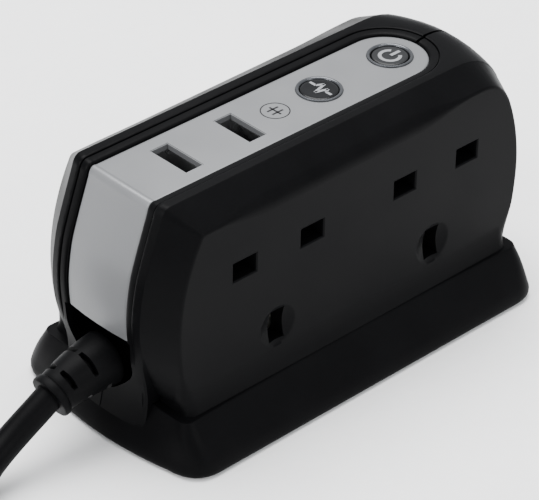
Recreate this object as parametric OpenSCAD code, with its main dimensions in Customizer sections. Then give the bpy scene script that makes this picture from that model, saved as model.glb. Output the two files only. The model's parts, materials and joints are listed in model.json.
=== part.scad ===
// Four-way surge-protected power block: two British three-pin sockets on each long face,
// two USB charging ports on top, and a mains lead with a fused plug. Millimetres, +Z up.
// The origin is under the middle of the housing, on the surface that the feet rest on.

/* [Housing] */
// Length of the base at its centre line
base_l = 129.6; // [126:0.2:133]
// Width of the base where it meets the floor
base_w = 67; // [64:0.5:72]
// Height of the flared skirt
flare_h = 14; // [12:0.5:16]
// Distance between the two socket faces
body_t = 48; // [47:0.5:50]
// Height of the rim that borders the silver strip
rim_z = 69.6; // [69.2:0.1:71]
// Greatest length of the rim
rim_l = 127.8; // [126:0.2:130]
// Width of the central spine that carries the rim
spine_w = 32.6; // [31:0.2:34]
// Greatest length of a socket face
face_l = 116.6; // [114:0.2:118]
// Height of a socket face's top edge
face_top = 63.8; // [62:0.1:65]
// Radius of the bulge at both ends
end_r = 64; // [56:1:70]
// Height of the widest point of that bulge
end_z = 34; // [32:0.5:36]
// Wall thickness of the shells
wall = 2.2; // [1.8:0.1:2.6]

/* [Silver strip] */
// Width of the strip
strip_w = 21.6; // [21:0.1:22]
// Height of its top surface
strip_z = 68.4; // [68:0.1:69]
// Thickness of the strip
strip_t = 1.6; // [1.2:0.1:1.8]
// Distance from the origin to the rounded end of the strip
strip_tip = 44.6; // [43:0.2:47]

/* [Sockets] */
// Distance between the middles of the sockets on one face
pitch = 54; // [52:0.5:56]
// Place of the middle of each pair along the length
pair_x = 1.5; // [0:0.5:3]
// Height of the line and neutral slots
ln_z = 48.6; // [48:0.1:49.5]
// Drop from those slots to the earth slot
earth_drop = 22.2; // [22.2]
// Distance from the socket's middle to a line or neutral slot
ln_half = 11.1; // [11.1]

/* [Top controls] */
// Place of the first USB port along the length
usb_x1 = -37; // [-38:0.5:-36]
// Place of the second USB port along the length
usb_x2 = -16.5; // [-17.5:0.5:-15.5]
// Place of the surge lens along the length
lens_x = 10.2; // [9:0.1:12]
// Place of the power button along the length
button_x = 35; // [34:0.1:36]
// Outer radius of the bezels round the lens and the button
bezel_r = 6; // [5.8:0.1:6.2]

/* [Lead] */
// Diameter of the cord
cord_d = 7.5; // [7:0.1:8]
// Radius of the coil at the middle of its turns
coil_r = 37.5; // [37.5]
// Thickness of the plug body
plug_t = 22; // [20:1:24]

/* [Hidden] */
$fn = 48;

// Housing
face_y = body_t / 2;
spine_y = spine_w / 2;
floor_gap = 0.6;                  // the feet hold the shells this far off the floor
shoulder_l = rim_l - 4.6;         // length of the bevel where it starts beside the rim
shoulder_top = rim_z - 1.5;
cavity_l = 118.4;                 // length of the space inside the spine
skirt_top_l = 115;                // size of the skirt where it meets the barrel
skirt_top_w = 54;
bow_r = 102;                      // plan radius of the bowed ends of the base
corner_r = 6;                     // radius of the rim's upper corner at the cord end
far_corner_r = 10;                // and at the far end
plate_z = 0.8;                    // underside of the base plate
plate_t = 2.2;
boss_x = [-44, 0, 44];
boss_y = 20.5;
boss_r = 3.4;
boss_top = 17;
screw_r = 1.45;
pilot_r = 1.5;
foot_xy = [53, 23.5];
foot_r = 5;
// Recess for the cord under the strip
strip_end_z = 32.2;
pocket_low = 12.5;
pocket_x = -52;
// Socket slots
ln_w = 7.2;
ln_h = 4.8;
earth_w = 4.8;
earth_h = 8.8;
earth_z = ln_z - earth_drop;
tunnel_y = face_y - 5.2;          // inner end of each slot's tunnel
tunnel_wall = 1.4;
dish_r = 6;
dish_d = 1.3;
// Shutters, carriers and contacts
shutter_out = tunnel_y - 0.3;
shutter_in = shutter_out - 1.6;
shutter_travel = 5.6;               // how far the earth pin lifts a shutter
shutter_low = 2.9;                  // half height of the cover behind the slots
wedge_in = 12.4;
carrier_out = shutter_in - 0.3;
carrier_in = carrier_out - 1.6;
spring_seat_z = 61;
leaf_t = 0.6;
line_z = 50.8;                    // underside of the line busbar
neutral_z = 44.6;
earth_bar_z = 20.6;
pin_gap = 2.2;                    // half the height between the leaves of a clip
clip_in = 5.7;
clip_out = 14;
bar_y = 4.6;                        // half width of the line and neutral busbars
// Boards
usb_board_z = 52.2;
board_t = 1.2;
board_top = usb_board_z + board_t;
surge_board_z = 6;
// USB ports
port_w = 13.1;
port_d = 5.7;
port_top = strip_z - strip_t - 0.1;
port_wall = 0.3;
mouth_w = 12.6;
mouth_d = 5.2;
// Button and lens
bezel_top = strip_z + 0.5;
bezel_in = 5;
ledge_z = 65;                     // underside of the shell below the strip
cap_r = 4.7;
cap_top = strip_z + 0.2;
switch_top = 59.8;
plunger_r = 1.6;
// Cord boot: its axis curves down from the wall to the cord
boot_root = [-52.1, 0, 21.2];
boot_r0 = 7.5;
boot_r1 = 5;
boot_rings = 6;
boot_bend = 24;
boot_len = 26.8;
spigot_r = 5.4;
// Route of the lead, from the boot to the coil, and of the tail, from the coil to the plug
lead_route = [[-78, 0, 18], [-81, 0, 16.3], [-84.5, 0, 14.4], [-88, 0, 12.5],
    [-93, -0.3, 10], [-98, -1.2, 7.9], [-102.5, -2.8, 6.2], [-107, -4.9, 5],
    [-111.5, -7.6, 4.2], [-115.5, -10.8, 3.8], [-118.5, -14.1, 3.8]];
coil_at = [-152.8, 15];
coil_wide = 3 * cord_d;
coil_high = 3 * cord_d;
tail_route = [[-190.3, 15, 18.8], [-189, 24.7, 19.4], [-185.3, 33.8, 20.3],
    [-179.3, 41.5, 21.4], [-171.6, 47.5, 22.5], [-162.5, 51.2, 23.5],
    [-152.8, 52.5, 24.5], [-144.8, 52.5, 25.5], [-136.8, 52.5, 26.4],
    [-127.8, 52.5, 27], [-120, 51.5, 27], [-112.8, 48.5, 26.8], [-106.6, 43.7, 26.6],
    [-101.8, 37.5, 26.5], [-98.8, 30.3, 26.5], [-97.8, 22.5, 26.6], [-98.8, 14.7, 27.2],
    [-101.8, 7.5, 28.4], [-106.6, 1.3, 30], [-112.8, -3.5, 31.8], [-120, -6.5, 33.1],
    [-127.8, -7.5, 33.5]];
// Plug, lying on the coil with its pins up
plug_at = [-176.5, -7.5, coil_high];
plug_w = 48;
plug_l = 47;
plug_boot_l = 24;
plug_cord_z = 11;

// Points of an arc about [x, z], from angle a to angle b
function arc(x, z, r, a, b, n = 10) =
    [for (i = [0:n]) let (t = a + (b - a) * i / n) [x + r * cos(t), z + r * sin(t)]];

// The same half outline mirrored across the second axis and joined to itself
function both(side) =
    concat(side, [for (i = [len(side) - 1:-1:0]) [-side[i][0], side[i][1]]]);

// Closed outline with bulged ends: half length x, bulge radius r about height c,
// upper limit hi with corner radius rh, lower limit lo with corner radius rl
function bulged(x, r, c, hi, rh, lo, rl) =
    let (
        up = asin((hi - rh - c) / (r - rh)),
        down = asin((c - lo - rl) / (r - rl)),
        o = x - r
    )
    both(concat(
        arc(o + (r - rl) * cos(down), lo + rl, rl, -90, -down),
        arc(o, c, r, -down, up, 20),
        arc(o + (r - rh) * cos(up), hi - rh, rh, up, 90)));

function spine_side(x, top, r) =
    let (
        up = asin((top - r - end_z) / (end_r - r)),
        low = asin((flare_h + 3 - end_z) / end_r),
        o = x - end_r
    )
    concat(
        [[base_l / 2, floor_gap], [base_l / 2 - 2.4, flare_h / 2], [base_l / 2 - 2.9, flare_h]],
        arc(o, end_z, end_r, low, up, 20),
        arc(o + (end_r - r) * cos(up), top - r, r, up, 90));

// Outline of the spine, or of the same shape sunk below its surface
function spine_outline(sunk = 0) =
    let (
        x = rim_l / 2 - sunk,
        far = spine_side(x, rim_z - sunk, far_corner_r - sunk),
        near = spine_side(x, rim_z - sunk, corner_r - sunk)
    )
    concat(far, [for (i = [len(near) - 1:-1:0]) [-near[i][0], near[i][1]]]);

// Solids from an outline: upright between two y values, or lying between two z values
module upright(outline, y0, y1) {
    translate([0, y1, 0]) rotate([90, 0, 0]) linear_extrude(y1 - y0) polygon(outline);
}
module lying(outline, z0, z1) {
    translate([0, 0, z0]) linear_extrude(z1 - z0) polygon(outline);
}

module block(low, high) {
    translate(low) cube(high - low);
}

module upright_hole(x, z, w, h, y0, y1) {
    block([x - w / 2, y0, z - h / 2], [x + w / 2, y1, z + h / 2]);
}

// A tube of n sides swept along a route, with one radius or a list of them
function direction(route, i) =
    let (
        a = route[max(i - 1, 0)],
        b = route[min(i + 1, len(route) - 1)]
    )
    (b - a) / norm(b - a);

module tube(route, r, n = 10) {
    count = len(route);
    points = [for (i = [0:count - 1])
        let (
            along = direction(route, i),
            side = cross(along, [0, 0, 1]) / norm(cross(along, [0, 0, 1])),
            up = cross(side, along),
            ring = is_list(r) ? r[i] : r
        )
        for (k = [0:n - 1])
            route[i] + ring * (cos(360 * k / n) * side + sin(360 * k / n) * up)];
    faces = concat(
        [[for (k = [n - 1:-1:0]) k]],
        [for (i = [0:count - 2]) for (k = [0:n - 1]) for (half = [0, 1])
            let (a = i * n + k, m = i * n + (k + 1) % n)
            half == 0 ? [a, m + n, a + n] : [a, m, m + n]],
        [[for (k = [0:n - 1]) (count - 1) * n + k]]);
    polyhedron(points, faces, convexity = 4);
}

// A coil spring standing on z = 0
module coil_spring(r, wire, height, turns) {
    steps = turns * 12;
    tube([for (i = [0:steps])
        [r * cos(30 * i), r * sin(30 * i), wire + (height - 2 * wire) * i / steps]], wire, 5);
}

function socket_x(i) = pair_x + pitch * (i - 0.5);

// Shells
module barrel() {
    hull() {
        upright(bulged(shoulder_l / 2, end_r, end_z, shoulder_top, 5, 6, 24),
            -spine_y, -spine_y + 0.5);
        upright(bulged(face_l / 2, end_r, end_z, face_top, 0.8, 6, 14),
            -face_y, -face_y + 0.2);
    }
}

module skirt(inset, z0) {
    hull() {
        lying(bulged(base_l / 2 - inset, bow_r, 0, base_w / 2 - inset, 7 - inset,
            inset - base_w / 2, 7 - inset), z0, z0 + 1);
        lying(bulged(skirt_top_l / 2 - inset, 300, 0, skirt_top_w / 2 - inset, 5 - inset,
            inset - skirt_top_w / 2, 5 - inset), flare_h - 0.5, flare_h);
    }
}

module cavity() {
    hull() {
        upright(bulged(cavity_l / 2, end_r - 5, end_z, ledge_z, 3, 6, 22), -spine_y + wall, 0.1);
        upright(bulged(face_l / 2 - wall, end_r, end_z, face_top - wall, 0.8, 6, 12),
            -face_y + wall, -face_y + wall + 0.2);
    }
    skirt(wall, floor_gap - 0.5);
}

module strip_plan(grow) {
    r = strip_w / 2 + grow;
    linear_extrude(90) {
        translate([-80, -r]) square([80 + strip_tip - strip_w / 2, 2 * r]);
        translate([strip_tip - strip_w / 2, 0]) circle(r = r);
    }
}

module groove() {
    sunk = rim_z - strip_z + strip_t + 0.1;
    difference() {
        strip_plan(0.1);
        upright(spine_outline(sunk), -20, 20);
        block([-90, -20, 0], [90, 20, strip_end_z]);
    }
}

module slots() {
    for (i = [0, 1]) {
        for (s = [-1, 1])
            upright_hole(socket_x(i) + s * ln_half, ln_z, ln_w, ln_h, -face_y - 1, -tunnel_y + 1);
        upright_hole(socket_x(i), earth_z, earth_w, earth_h, -face_y - 1, -tunnel_y + 1);
        translate([socket_x(i), -face_y - 0.01, earth_z])
            rotate([-90, 0, 0]) cylinder(r1 = dish_r, r2 = earth_w / 2, h = dish_d);
    }
}

module tunnels() {
    grow = 2 * tunnel_wall;
    for (i = [0, 1]) {
        for (s = [-1, 1])
            upright_hole(socket_x(i) + s * ln_half, ln_z, ln_w + grow, ln_h + grow,
                -face_y + 1, -tunnel_y);
        upright_hole(socket_x(i), earth_z, earth_w + grow, earth_h + grow,
            -face_y + 1, -tunnel_y);
    }
}

module top_openings() {
    for (x = [usb_x1, usb_x2])
        block([x - port_d / 2 - 0.15, -port_w / 2 - 0.15, 60],
            [x + port_d / 2 + 0.15, port_w / 2 + 0.15, 72]);
    for (x = [lens_x, button_x])
        translate([x, 0, 60]) cylinder(r = bezel_r + 0.15, h = 12);
}

module cord_pocket() {
    half = strip_w / 2;
    round_z = pocket_low + half;
    translate([pocket_x, 0, 0]) rotate([0, -90, 0]) linear_extrude(20) {
        translate([round_z, 0]) circle(r = half);
        translate([round_z, -half]) square([strip_end_z - round_z + 3, 2 * half]);
    }
}

module pocket_walls() {
    intersection() {
        block([-70, -spine_y + 1.5, pocket_low - 3], [pocket_x + 2, 0, strip_end_z + 4]);
        upright(spine_outline(1.5), -20, 20);
    }
}

module half_shell() {
    difference() {
        union() {
            difference() {
                union() {
                    barrel();
                    upright(spine_outline(), -spine_y, 0);
                    skirt(0, floor_gap);
                }
                cavity();
            }
            tunnels();
            pocket_walls();
            for (x = boss_x)
                translate([x, -boss_y, plate_z + plate_t])
                    cylinder(r = boss_r, h = boss_top - plate_z - plate_t);
        }
        groove();
        slots();
        top_openings();
        cord_pocket();
        translate(boot_root - [10, 0, 0]) rotate([0, 90, 0]) cylinder(r = spigot_r + 0.1, h = 20);
        for (x = boss_x)
            translate([x, -boss_y, 0]) cylinder(r = pilot_r, h = boss_top - 1.5);
        block([-90, 0, -5], [90, 60, 90]);
    }
}

module front_shell() {
    color("#1c1c1e") half_shell();
}

module rear_shell() {
    color("#1c1c1e") mirror([0, 1, 0]) half_shell();
}

module at_corners(xy) {
    for (sx = [-1, 1])
        for (sy = [-1, 1])
            translate([sx * xy[0], sy * xy[1], 0]) children();
}

module base_plate() {
    inset = wall + 0.4;
    saddle_x = -47;
    color("#242426") difference() {
        union() {
            lying(bulged(base_l / 2 - inset - 1, bow_r, 0, base_w / 2 - inset - 0.8, 4,
                inset + 0.8 - base_w / 2, 4), plate_z, plate_z + plate_t);
            block([saddle_x - 2.8, -11, plate_z + plate_t - 0.5], [saddle_x + 3, 11, boot_root[2]]);
            for (x = [6, 38])
                for (y = [-12, 12])
                    translate([x, y, plate_z + 1])
                        cylinder(r = 2, h = surge_board_z - plate_z - 1);
        }
        translate([-60, 0, boot_root[2]]) rotate([0, 90, 0])
            cylinder(r = spigot_r + 0.05, h = 20);
        for (y = [-8.2, 8.2])
            translate([saddle_x, y, boot_root[2] - 9]) cylinder(r = 1.2, h = 20);
        for (x = boss_x)
            for (y = [-boss_y, boss_y])
                translate([x, y, 0]) {
                    cylinder(r = screw_r + 0.2, h = 10);
                    cylinder(r = 3.1, h = plate_z + 1);
                }
        at_corners(foot_xy) cylinder(r = foot_r + 0.1, h = plate_z + 0.8);
    }
}

module trim_strip() {
    sunk = rim_z - strip_z;
    color("#b9bbbf") difference() {
        intersection() {
            strip_plan(0);
            upright(spine_outline(sunk), -20, 20);
        }
        upright(spine_outline(sunk + strip_t), -20, 20);
        block([-90, -20, -1], [90, 20, strip_end_z + 0.2]);
        for (x = [usb_x1, usb_x2])
            block([x - mouth_d / 2, -mouth_w / 2, 60], [x + mouth_d / 2, mouth_w / 2, 72]);
        for (x = [lens_x, button_x])
            translate([x, 0, 60]) cylinder(r = bezel_r + 0.1, h = 12);
    }
}

// Top controls
module bezel(x) {
    translate([x, 0, 0]) difference() {
        union() {
            translate([0, 0, ledge_z - 1.2]) cylinder(r = bezel_r + 1.2, h = 1.2);
            translate([0, 0, ledge_z - 1.2]) cylinder(r = bezel_r, h = bezel_top - ledge_z + 1.2);
        }
        translate([0, 0, 60]) cylinder(r = bezel_in, h = 12);
    }
}

module button_bezel() {
    color("#4a4c50") bezel(button_x);
}

module lens_bezel() {
    color("#4a4c50") bezel(lens_x);
}

module power_button() {
    flange_z = ledge_z - 2.6;
    color("#2b2c2f") translate([button_x, 0, 0]) difference() {
        union() {
            translate([0, 0, flange_z]) cylinder(r = cap_r + 1.6, h = 1.1);
            translate([0, 0, flange_z]) cylinder(r = cap_r, h = cap_top - flange_z);
            translate([0, 0, switch_top - 2]) cylinder(r = plunger_r, h = 8);
        }
        translate([0, 0, flange_z - 1]) difference() {
            cylinder(r = cap_r - 1, h = cap_top - flange_z - 0.5);
            cylinder(r = plunger_r, h = 10);
        }
    }
}

module button_spring() {
    color("#c8c8c8") translate([button_x, 0, switch_top + 0.1])
        coil_spring(2.9, 0.3, 7, 5);
}

module power_switch() {
    color("#d8d8d2") translate([button_x, 0, 0]) difference() {
        block([-6.5, -6.5, board_top + 0.1], [6.5, 6.5, switch_top]);
        translate([0, 0, board_top + 1.5]) cylinder(r = plunger_r + 0.3, h = 10);
    }
}

module surge_lens() {
    color("#35373a") translate([lens_x, 0, 0]) {
        translate([0, 0, ledge_z - 2.4]) cylinder(r = bezel_in + 1.2, h = 1.1);
        translate([0, 0, ledge_z - 2.4]) cylinder(r = bezel_in - 0.1, h = cap_top - ledge_z + 2.4);
    }
}

module surge_lamp() {
    color("#e6e9e2") translate([lens_x, 0, board_top + 0.1]) {
        cylinder(r = 2.5, h = 4);
        translate([0, 0, 4]) sphere(r = 2.5);
    }
}

module control_board() {
    color("#2e6b3a") block([3.5, -14.4, usb_board_z], [46, 14.4, board_top]);
}

module usb_port(x) {
    low = board_top + 0.1;
    color("#c9cbd0") difference() {
        block([x - port_d / 2, -port_w / 2, low], [x + port_d / 2, port_w / 2, port_top]);
        block([x - port_d / 2 + port_wall, -port_w / 2 + port_wall, low + 0.6],
            [x + port_d / 2 - port_wall, port_w / 2 - port_wall, 72]);
    }
}

module usb_port_1() {
    usb_port(usb_x1);
}

module usb_port_2() {
    usb_port(usb_x2);
}

module usb_tongues() {
    color("#101012")
        for (x = [usb_x1, usb_x2])
            block([x - 2.1, -5.5, board_top + 0.8], [x - 0.3, 5.5, port_top - 1.2]);
}

module usb_board() {
    color("#2e6b3a") block([-46, -14.4, usb_board_z], [1.5, 14.4, board_top]);
}

module usb_transformer() {
    color("#d9b13b") {
        block([-9.5, -6.5, board_top + 0.1], [0.5, 6.5, board_top + 2.5]);
        block([-8, -5, board_top + 2], [-1, 5, board_top + 7]);
        block([-9.5, -6.5, board_top + 6.5], [0.5, 6.5, board_top + 8.6]);
    }
}

module usb_capacitors() {
    color("#26262c")
        for (y = [-7, 7])
            translate([(usb_x1 + usb_x2) / 2, y, board_top + 0.1]) cylinder(r = 3.5, h = 8.5);
}

// Surge protection, on its own board in the base
module surge_board() {
    color("#8a6a34") block([2, -15, surge_board_z], [42, 15, surge_board_z + 1.6]);
}

module varistors() {
    color("#2f5fb0")
        for (i = [0:2]) {
            translate([24 + 7 * i, 3, surge_board_z + 7.4]) rotate([0, 90, 0])
                cylinder(r = 4.8, h = 4);
            for (y = [0.5, 5.5])
                translate([26 + 7 * i, y, surge_board_z + 1.6]) cylinder(r = 0.4, h = 4);
        }
}

module thermal_fuse() {
    color("#c7b27a") translate([6, -8, surge_board_z + 4]) rotate([0, 90, 0]) {
        cylinder(r = 2, h = 11);
        translate([0, 0, -1.5]) cylinder(r = 0.5, h = 14);
    }
}

// Contacts: a clip is a web with two leaves that grip a flat pin, on a tab of its busbar
module clip(x, side, bar_z) {
    low = ln_z - pin_gap - leaf_t;
    high = ln_z + pin_gap;
    mirror([0, side < 0 ? 1 : 0, 0]) {
        for (z = [low, high])
            block([x - 3.2, clip_in, z], [x + 3.2, clip_out, z + leaf_t]);
        block([x - 3.2, clip_in, min(low, bar_z)], [x + 3.2, clip_in + leaf_t, high + leaf_t]);
        block([x - 3.2, bar_y - 1, bar_z], [x + 3.2, clip_in + leaf_t, bar_z + leaf_t]);
    }
}

module line_busbar() {
    color("#c9973f") {
        block([-45, -bar_y, line_z], [48, bar_y, line_z + leaf_t]);
        for (i = [0, 1])
            for (s = [-1, 1])
                clip(socket_x(i) + s * ln_half, s, line_z);
    }
}

module neutral_busbar() {
    color("#d0a860") {
        block([-42, -bar_y, neutral_z], [45, bar_y, neutral_z + leaf_t]);
        for (i = [0, 1])
            for (s = [-1, 1])
                clip(socket_x(i) - s * ln_half, s, neutral_z);
    }
}

module earth_busbar() {
    color("#b98f4a") {
        block([-40, -8, earth_bar_z], [45, 8, earth_bar_z + leaf_t]);
        for (i = [0, 1])
            for (s = [-1, 1])
                block([socket_x(i) + s * 2.4 - leaf_t / 2, -11.5, earth_bar_z],
                    [socket_x(i) + s * 2.4 + leaf_t / 2, 11.5, earth_z + 4.2]);
    }
}

// Carriers hold the shutters, the busbars and the upper boards
module carrier() {
    difference() {
        union() {
            block([-46.5, -carrier_out, 18], [49.5, -carrier_in, 60]);
            block([-46.5, -carrier_in - 0.1, usb_board_z - 0.7], [49.5, -13.6, usb_board_z]);
            block([-41, -carrier_in - 0.1, neutral_z - 1.4], [44, -0.4, neutral_z - 0.1]);
            block([-36, -carrier_in - 0.1, earth_bar_z - 1.4], [44, -0.4, earth_bar_z - 0.1]);
            for (i = [0, 1])
                block([socket_x(i) - 3, -carrier_out - 2.8, spring_seat_z - 1.3],
                    [socket_x(i) + 3, -carrier_in, spring_seat_z]);
        }
        for (i = [0, 1]) {
            for (s = [-1, 1])
                upright_hole(socket_x(i) + s * ln_half, ln_z, 8.4, 5.2,
                    -carrier_out - 1, -carrier_in + 0.5);
            block([socket_x(i) - 3.2, -carrier_out - 1, earth_z - 5],
                [socket_x(i) + 3.2, -carrier_in + 0.5, earth_z + 9 + shutter_travel]);
        }
    }
}

module front_carrier() {
    color("#d9d6cc") carrier();
}

module rear_carrier() {
    color("#d9d6cc") mirror([0, 1, 0]) carrier();
}

// A shutter covers the line and neutral slots until the earth pin lifts it by its wedge
module shutter(i) {
    x = socket_x(i);
    foot_z = earth_z - 1.6;
    color("#e8e4da") {
        upright_hole(x, ln_z, 30, 2 * shutter_low, -shutter_out, -shutter_in);
        block([x - 2, -shutter_out, foot_z + 5], [x + 2, -shutter_in, ln_z]);
        translate([x - 2, 0, 0]) rotate([90, 0, 90]) linear_extrude(4)
            polygon([[-shutter_out, foot_z + 6.1], [-wedge_in, foot_z],
                [-wedge_in, foot_z + 6], [-shutter_in, foot_z + 9],
                [-shutter_out, foot_z + 9]]);
    }
}

module shutter_front_1() {
    shutter(0);
}

module shutter_front_2() {
    shutter(1);
}

module shutter_rear_1() {
    mirror([0, 1, 0]) shutter(0);
}

module shutter_rear_2() {
    mirror([0, 1, 0]) shutter(1);
}

module shutter_spring(i, side) {
    low = ln_z + shutter_low + 0.1;
    color("#c8c8c8")
        translate([socket_x(i), side * (shutter_out + shutter_in) / 2, low])
            coil_spring(0.8, 0.15, spring_seat_z - 1.4 - low, 5);
}

module spring_front_1() {
    shutter_spring(0, -1);
}

module spring_front_2() {
    shutter_spring(1, -1);
}

module spring_rear_1() {
    shutter_spring(0, 1);
}

module spring_rear_2() {
    shutter_spring(1, 1);
}

// Cord entry
function boot_tilt(i) = boot_bend * pow(i / boot_rings, 2);

function boot_point(i) =
    i == 0 ? boot_root
    : boot_point(i - 1)
        - boot_len / boot_rings * [cos(boot_tilt(i - 0.5)), 0, sin(boot_tilt(i - 0.5))];

module cord_boot() {
    flange = boot_point(boot_rings) + 2 * [cos(boot_bend), 0, sin(boot_bend)];
    rings = [for (i = [0:boot_rings - 1]) boot_point(i)];
    radii = [for (i = [0:boot_rings - 1]) boot_r0 + (boot_r1 - boot_r0) * i / boot_rings];
    color("#202023") {
        tube(concat(rings, [flange, flange, boot_point(boot_rings)]),
            concat(radii, [boot_r1, boot_r1 + 0.9, boot_r1 + 0.9]), 24);
        translate(boot_root - [0.2, 0, 0]) rotate([0, 90, 0]) cylinder(r = spigot_r, h = 10.2);
    }
}

module cord_clamp() {
    z = boot_root[2];
    color("#3a3a3d") difference() {
        block([-49.8, -11, z + 0.1], [-44, 11, z + 8]);
        translate([-60, 0, z]) rotate([0, 90, 0]) cylinder(r = spigot_r + 0.05, h = 20);
        for (y = [-8.2, 8.2])
            translate([-47, y, z - 9]) cylinder(r = 1.3, h = 30);
    }
}

module clamp_screws() {
    color("#b8b8bc")
        for (y = [-8.2, 8.2])
            translate([-47, y, boot_root[2]]) {
                translate([0, 0, -6]) cylinder(r = 1.15, h = 15);
                translate([0, 0, 8]) difference() {
                    cylinder(r = 2.4, h = 1.8);
                    translate([-3, -0.4, 1]) cube([6, 0.8, 2]);
                }
            }
}

module case_screws() {
    color("#b8b8bc")
        for (x = boss_x)
            for (y = [-boss_y, boss_y])
                translate([x, y, plate_z + 1]) difference() {
                    union() {
                        translate([0, 0, -1]) cylinder(r = 2.9, h = 1);
                        translate([0, 0, -0.1]) cylinder(r = screw_r, h = 12);
                    }
                    translate([-0.4, -2, -1.5]) cube([0.8, 4, 1]);
                    translate([-2, -0.4, -1.5]) cube([4, 0.8, 1]);
                }
}

module rubber_feet() {
    color("#141414") at_corners(foot_xy) cylinder(r = foot_r, h = plate_z + 0.8);
}

// Cores from the cord to the busbars
module line_wire() {
    color("#7a4a22") tube([[-41, 3.4, 23.4], [-40, 3.5, 25], [-40, 3.7, 27.5],
        [-41.5, 4, 30.4], [-44.8, 4.2, 33.2], [-48.2, 4.3, 36], [-50, 4.3, 39.5],
        [-50, 4.3, 46], [-49.6, 4.2, 49], [-48.2, 4.1, 50.7], [-46.6, 3.9, 51.1],
        [-45.2, 3.8, 51.1]], 1, 8);
}

module neutral_wire() {
    color("#2c56a8") tube([[-41, -3.4, 23.4], [-40, -3.5, 25], [-40, -3.7, 27.5],
        [-41.5, -4, 30.4], [-44.8, -4.2, 33.2], [-47.8, -4.3, 36.4], [-48.4, -4.3, 40],
        [-47.8, -4.2, 43], [-46, -4, 44.5], [-44, -3.9, 44.9], [-42.2, -3.8, 44.9]], 1, 8);
}

module earth_wire() {
    color("#5c9a3a") tube([[-41.2, 0, 18.4], [-40.6, 0, 17.4], [-39.7, 0, 16.9],
        [-38.7, 0, 17.4], [-38.2, 0, 18.6], [-38, 0, 20.5]], 1, 8);
}

// The lead
module cord_lead() {
    color("#19191b") tube(lead_route, cord_d / 2);
}

module cord_coil() {
    soft = 3;
    color("#19191b") translate([coil_at[0], coil_at[1], 0]) rotate_extrude($fn = 96) {
        translate([coil_r - coil_wide / 2, 0]) square([coil_wide, coil_high - soft]);
        translate([coil_r - coil_wide / 2 + soft, 0]) square([coil_wide - 2 * soft, coil_high]);
        for (s = [-1, 1])
            translate([coil_r + s * (coil_wide / 2 - soft), coil_high - soft]) circle(r = soft);
    }
}

module cord_tail() {
    color("#19191b") tube(tail_route, cord_d / 2);
}

// Plug: x runs from the cord entry towards the earth pin
function plug_outline(w, l, r) =
    concat(
        arc(l / 2 - r, w / 2 - r - 4, r, 90, 0),
        arc(l / 2 - r, -w / 2 + r + 4, r, 0, -90),
        arc(-l / 2 + r + 2, -w / 2 + r, r, -60, -150),
        arc(-l / 2 + r + 2, w / 2 - r, r, 150, 60));

module on_plug() {
    translate(plug_at) mirror([1, 0, 0]) children();
}

module plug_body() {
    slot = [27.4, 9.4, 8.4];
    color("#1c1c1e") on_plug() difference() {
        union() {
            translate([0, 0, 3]) linear_extrude(plug_t - 3) polygon(plug_outline(plug_w, plug_l, 8));
            linear_extrude(3.1) polygon(plug_outline(plug_w - 4, plug_l - 4, 7));
        }
        translate([-6 - slot[0] / 2, -slot[1] / 2, plug_t - slot[2]])
            cube([slot[0], slot[1], slot[2] + 1]);
        for (s = [-1, 1])
            translate([-9, s * ln_half, plug_t]) cube([4.2, 6.55, 16], center = true);
        translate([-9 + earth_drop, 0, plug_t]) cube([8.2, 4.2, 16], center = true);
    }
}

module plug_boot() {
    color("#202023") on_plug() translate([-plug_l / 2 + 0.1, 0, plug_cord_z])
        rotate([0, -90, 0]) {
            cylinder(r1 = 7, r2 = 5.2, h = plug_boot_l);
            for (i = [1:4])
                translate([0, 0, 5 * i]) cylinder(r = 7.2 - 0.36 * i, h = 1.6);
        }
}

module plug_pins() {
    color("#d3b46a") on_plug()
        for (s = [-1, 1])
            translate([-11, s * ln_half - 3.175, plug_t - 7.9]) cube([4, 6.35, 7.9 + 17.7]);
}

module plug_earth_pin() {
    color("#d3b46a") on_plug()
        translate([-9 + earth_drop - 4, -2, plug_t - 7.9]) cube([8, 4, 7.9 + 22.7]);
}

module fuse_carrier() {
    size = [26.8, 8.8, 8];
    color("#8e2f2a") on_plug() translate([-6 - size[0] / 2, -size[1] / 2, plug_t - size[2]])
        difference() {
            cube(size);
            translate([0.6, size[1] / 2, 3.4]) rotate([0, 90, 0]) cylinder(r = 3.2, h = 25.6);
            translate([0.6, size[1] / 2 - 3.2, -1]) cube([25.6, 6.4, 4.4]);
        }
}

module plug_fuse() {
    color("#e9e6da") on_plug() translate([-6 - 12.7, 0, plug_t - 4.6]) rotate([0, 90, 0])
        cylinder(r = 3.1, h = 25.4);
}

front_shell();
rear_shell();
base_plate();
trim_strip();
power_button();
button_bezel();
surge_lens();
lens_bezel();
power_switch();
button_spring();
control_board();
surge_lamp();
usb_port_1();
usb_port_2();
usb_tongues();
usb_board();
usb_transformer();
usb_capacitors();
surge_board();
varistors();
thermal_fuse();
line_busbar();
neutral_busbar();
earth_busbar();
front_carrier();
rear_carrier();
shutter_front_1();
shutter_front_2();
shutter_rear_1();
shutter_rear_2();
spring_front_1();
spring_front_2();
spring_rear_1();
spring_rear_2();
cord_boot();
cord_clamp();
clamp_screws();
case_screws();
rubber_feet();
line_wire();
neutral_wire();
earth_wire();
cord_lead();
cord_coil();
cord_tail();
plug_body();
plug_boot();
plug_pins();
plug_earth_pin();
fuse_carrier();
plug_fuse();
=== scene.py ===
"""Looks of the four-way power block. Lengths in the helpers are millimetres, in the CAD frame."""

import json
import math

import bmesh
import bpy
from mathutils import Matrix, Vector


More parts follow.
